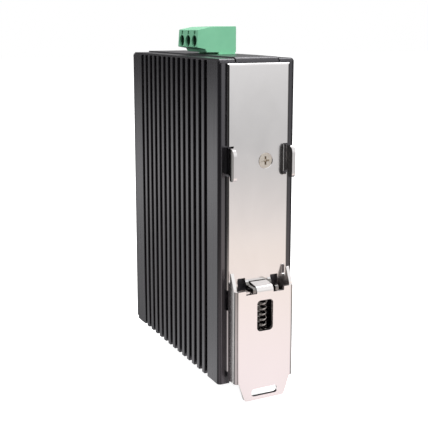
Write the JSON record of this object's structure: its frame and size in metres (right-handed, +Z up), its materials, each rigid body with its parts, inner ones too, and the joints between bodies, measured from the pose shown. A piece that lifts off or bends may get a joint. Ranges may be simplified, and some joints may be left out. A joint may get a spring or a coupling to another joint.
{
  "type": "din rail ethernet switch",
  "caption": "Slim five-port network switch with ribbed side, rail bracket with sprung latch, and a green three-pole power plug on top.",
  "frame": {"origin": "middle of the bracket's face where the rail seats, at the rail's mid height", "axes": "+Z up, +Y out of the back towards the rail, -Y the front with the ports, +X the ribbed side"},
  "size_m": [0.0281, 0.0808, 0.1192],
  "materials": {
    "black_aluminium": "black anodised, satin",
    "grey_cover": "grey powder coat",
    "stainless": "bright stainless sheet",
    "zinc_steel": "bright zinc",
    "spring_steel": "drawn wire",
    "terminal_green": "moulded, slight gloss",
    "board_green": "solder mask",
    "chip_black": "moulded epoxy",
    "pad_grey": "soft silicone pad",
    "tin": "tin plate",
    "jack_black": "moulded nylon",
    "contact_gold": "gold plate",
    "can_aluminium": "drawn can",
    "light_clear": "clear light pipe"
  },
  "bodies": {
    "casing": {"board_spacers": "zinc_steel", "capacitor_1": "can_aluminium", "capacitor_2": "can_aluminium", "circuit_board": "board_green", "clinch_nuts": "zinc_steel", "cover_screws": "zinc_steel", "crystal": "zinc_steel", "din_plate": "stainless", "front_panel": "grey_cover", "header_pins": "tin", "heat_sink_side": "black_aluminium", "housing_shell": "grey_cover", "inductor": "chip_black", "latch_spring": "spring_steel", "magnetics_1": "chip_black", "magnetics_2": "chip_black", "magnetics_3": "chip_black", "magnetics_4": "chip_black", "magnetics_5": "chip_black", "pillar_1": "zinc_steel", "pillar_2": "zinc_steel", "plate_screws": "zinc_steel", "plug_cages": "zinc_steel", "plug_contacts": "tin", "plug_housing": "terminal_green", "plug_screws": "zinc_steel", "port_contacts_1": "contact_gold", "port_contacts_2": "contact_gold", "port_contacts_3": "contact_gold", "port_contacts_4": "contact_gold", "port_contacts_5": "contact_gold", "port_core_1": "jack_black", "port_core_2": "jack_black", "port_core_3": "jack_black", "port_core_4": "jack_black", "port_core_5": "jack_black", "port_lights_1": "light_clear", "port_lights_2": "light_clear", "port_lights_3": "light_clear", "port_lights_4": "light_clear", "port_lights_5": "light_clear", "port_shield_1": "tin", "port_shield_2": "tin", "port_shield_3": "tin", "port_shield_4": "tin", "port_shield_5": "tin", "power_light": "light_clear", "regulator": "chip_black", "switch_chip": "chip_black", "terminal_header": "terminal_green", "thermal_pad": "pad_grey"},
    "latch": {"latch": "stainless"}
  },
  "joints": [
    {"name": "latch_slide", "type": "slide", "parent": "casing", "child": "latch", "axis": [0, 0, -1], "range_m": [0, 0.004], "stiffness_N_per_m": 900, "springref_m": -0.002, "deforming": ["latch_spring"]}
  ]
}
